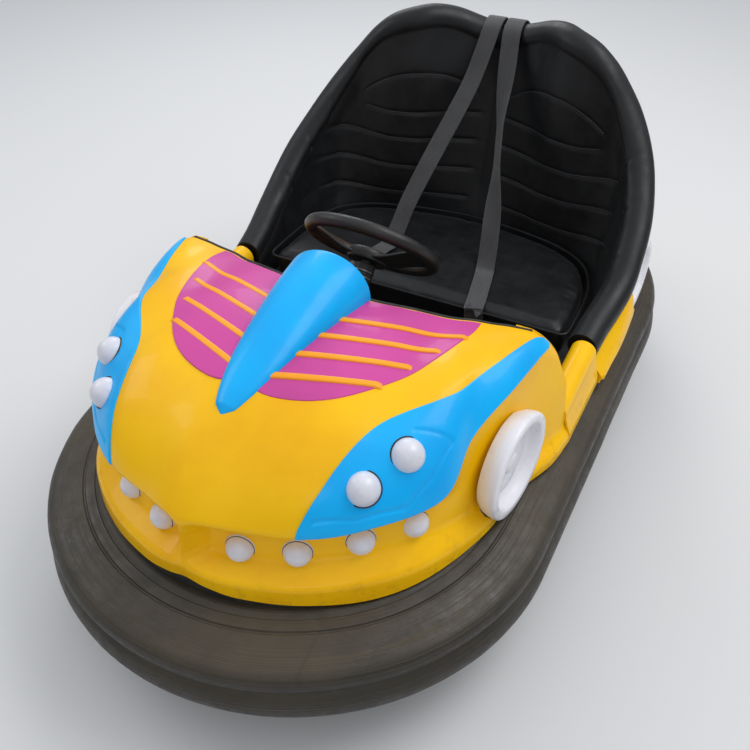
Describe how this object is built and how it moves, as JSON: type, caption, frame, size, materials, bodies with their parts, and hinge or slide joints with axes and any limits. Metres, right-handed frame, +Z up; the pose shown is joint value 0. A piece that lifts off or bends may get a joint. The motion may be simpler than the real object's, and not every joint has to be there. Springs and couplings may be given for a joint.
{
  "type": "bumper car",
  "caption": "Two-seat floor pick-up bumper car with a rubber bumper ring, moulded body, padded tub seat, lap belts and a steering column that swivels its driven wheel.",
  "frame": {"origin": "centre of the bumper ring's plan, on the floor", "axes": "+Z up, the car faces -Y, +X is the rider's left side"},
  "size_m": [1.124, 1.968, 0.921],
  "materials": {
    "ring_rubber": "worn and dusty black-brown rubber",
    "zinc_steel": "zinc-plated steel",
    "chassis_paint": "black painted steel",
    "yellow_gelcoat": "moulded fibreglass with a glossy yellow gel coat",
    "seal_rubber": "matt black rubber",
    "cyan_gelcoat": "glossy cyan paint",
    "magenta_gelcoat": "glossy magenta paint",
    "orange_gelcoat": "glossy orange paint",
    "lamp_white": "milky white lens",
    "disc_white": "glossy white plastic",
    "seat_vinyl": "black leatherette with a soft sheen",
    "wheel_black": "black grained plastic",
    "webbing": "grey-black woven webbing",
    "drive_grey": "grey cast metal",
    "brush_copper": "worn copper-graphite brush",
    "tyre_rubber": "black solid rubber"
  },
  "bodies": {
    "chassis": {"bumper_ring": "ring_rubber", "ring_band": "zinc_steel", "floor_pan": "chassis_paint", "chassis_rails": "chassis_paint", "front_shell": "yellow_gelcoat", "rear_shell": "yellow_gelcoat", "hem_seal": "seal_rubber", "pod_left": "cyan_gelcoat", "pod_right": "cyan_gelcoat", "louvre_left": "magenta_gelcoat", "louvre_right": "magenta_gelcoat", "louvre_bars_left": "orange_gelcoat", "louvre_bars_right": "orange_gelcoat", "nose_cone": "cyan_gelcoat", "headlamps_left": "lamp_white", "headlamps_right": "lamp_white", "mouth_lamps": "lamp_white", "front_disc_left": "disc_white", "front_disc_right": "disc_white", "rear_disc_left": "disc_white", "rear_disc_right": "disc_white", "sill_left": "yellow_gelcoat", "sill_right": "yellow_gelcoat", "seat_tub": "seat_vinyl", "seat_cushion": "seat_vinyl", "seat_base": "wheel_black", "belt_left": "webbing", "belt_right": "webbing", "belt_anchor": "zinc_steel", "column_tube": "wheel_black", "pedal": "wheel_black", "floor_mat": "seal_rubber", "drive_housing": "chassis_paint", "gear_box": "drive_grey", "rear_axle": "zinc_steel", "pickup_brushes": "brush_copper"},
    "steering": {"steering_wheel": "wheel_black", "steering_shaft": "zinc_steel"},
    "drive_head": {"drive_yoke": "zinc_steel"},
    "front_wheel": {"front_tyre": "tyre_rubber", "front_hub": "drive_grey"},
    "rear_wheel_left": {"rear_tyre_left": "tyre_rubber", "rear_hub_left": "zinc_steel"},
    "rear_wheel_right": {"rear_tyre_right": "tyre_rubber", "rear_hub_right": "zinc_steel"}
  },
  "joints": [
    {"name": "drive_swivel", "type": "hinge", "parent": "chassis", "child": "drive_head", "pos_m": [0, -0.48, 0.25], "axis": [0, 0, 1], "continuous": true},
    {"name": "steering_turn", "type": "hinge", "parent": "chassis", "child": "steering", "pos_m": [0, -0.093, 0.632], "axis": [0, 0.7431, 0.6691], "continuous": true},
    {"name": "front_wheel_spin", "type": "hinge", "parent": "drive_head", "child": "front_wheel", "pos_m": [0, -0.48, 0.12], "axis": [1, 0, 0], "continuous": true},
    {"name": "rear_left_spin", "type": "hinge", "parent": "chassis", "child": "rear_wheel_left", "pos_m": [0.3, 0.54, 0.07], "axis": [1, 0, 0], "continuous": true},
    {"name": "rear_right_spin", "type": "hinge", "parent": "chassis", "child": "rear_wheel_right", "pos_m": [-0.3, 0.54, 0.07], "axis": [1, 0, 0], "continuous": true}
  ],
  "couplings": [
    {"joint": "steering_turn", "follows": "drive_swivel", "ratio": 1}
  ]
}
